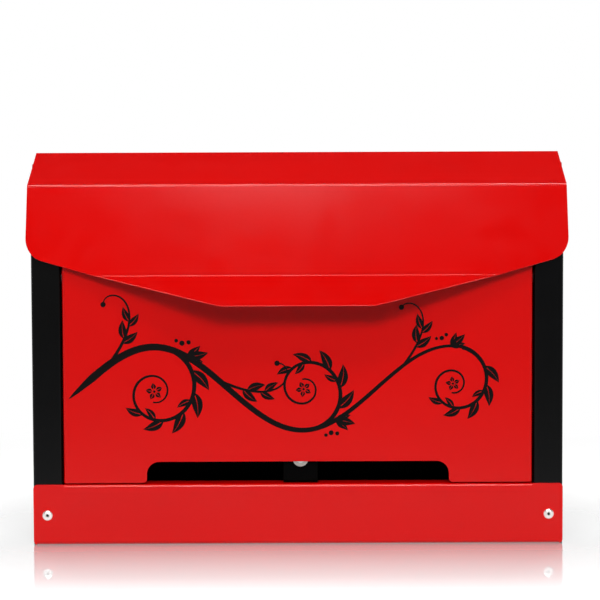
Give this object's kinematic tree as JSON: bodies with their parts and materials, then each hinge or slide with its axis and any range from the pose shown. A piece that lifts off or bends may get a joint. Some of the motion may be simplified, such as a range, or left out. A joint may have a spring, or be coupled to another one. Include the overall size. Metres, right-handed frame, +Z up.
{
  "type": "wall mailbox",
  "caption": "Wall mailbox of folded steel sheet: black case, red lid that lifts at the top for posting, and a red door below that swings out from the bottom.",
  "frame": {"origin": "centre of the four wall screw holes, on the back plane of the case", "axes": "+X to the right as seen from the front, +Y into the wall, +Z up"},
  "size_m": [0.3502, 0.1244, 0.247],
  "materials": {
    "black_coat": "semi-gloss black powder coat on steel sheet",
    "red_coat": "semi-gloss red powder coat on steel sheet",
    "rivet_alloy": "plain blind-rivet aluminium",
    "nickel_plate": "satin nickel plate on a disc magnet",
    "zinc_plate": "bright zinc plate",
    "nylon": "natural nylon"
  },
  "bodies": {
    "case": {"case_shell": "black_coat", "case_floor": "black_coat", "front_rail": "black_coat", "front_band": "red_coat", "band_rivets": "rivet_alloy", "magnet_bracket": "black_coat", "bracket_rivets": "rivet_alloy", "door_magnet": "nickel_plate", "magnet_screw": "zinc_plate", "magnet_nut": "zinc_plate", "door_pivot_rivets": "rivet_alloy", "door_pivot_washers": "nylon", "lid_pivot_rivets": "rivet_alloy", "lid_pivot_washers": "nylon"},
    "lid": {"lid": "red_coat"},
    "door": {"door": "red_coat"}
  },
  "joints": [
    {"name": "lid_hinge", "type": "hinge", "parent": "case", "child": "lid", "pos_m": [0, -0.01751, 0.087], "axis": [-1, 0, 0], "range_deg": [0, 105]},
    {"name": "door_hinge", "type": "hinge", "parent": "case", "child": "door", "pos_m": [0, -0.0925, 0.022], "axis": [-1, 0, 0], "range_deg": [0, 40]}
  ]
}
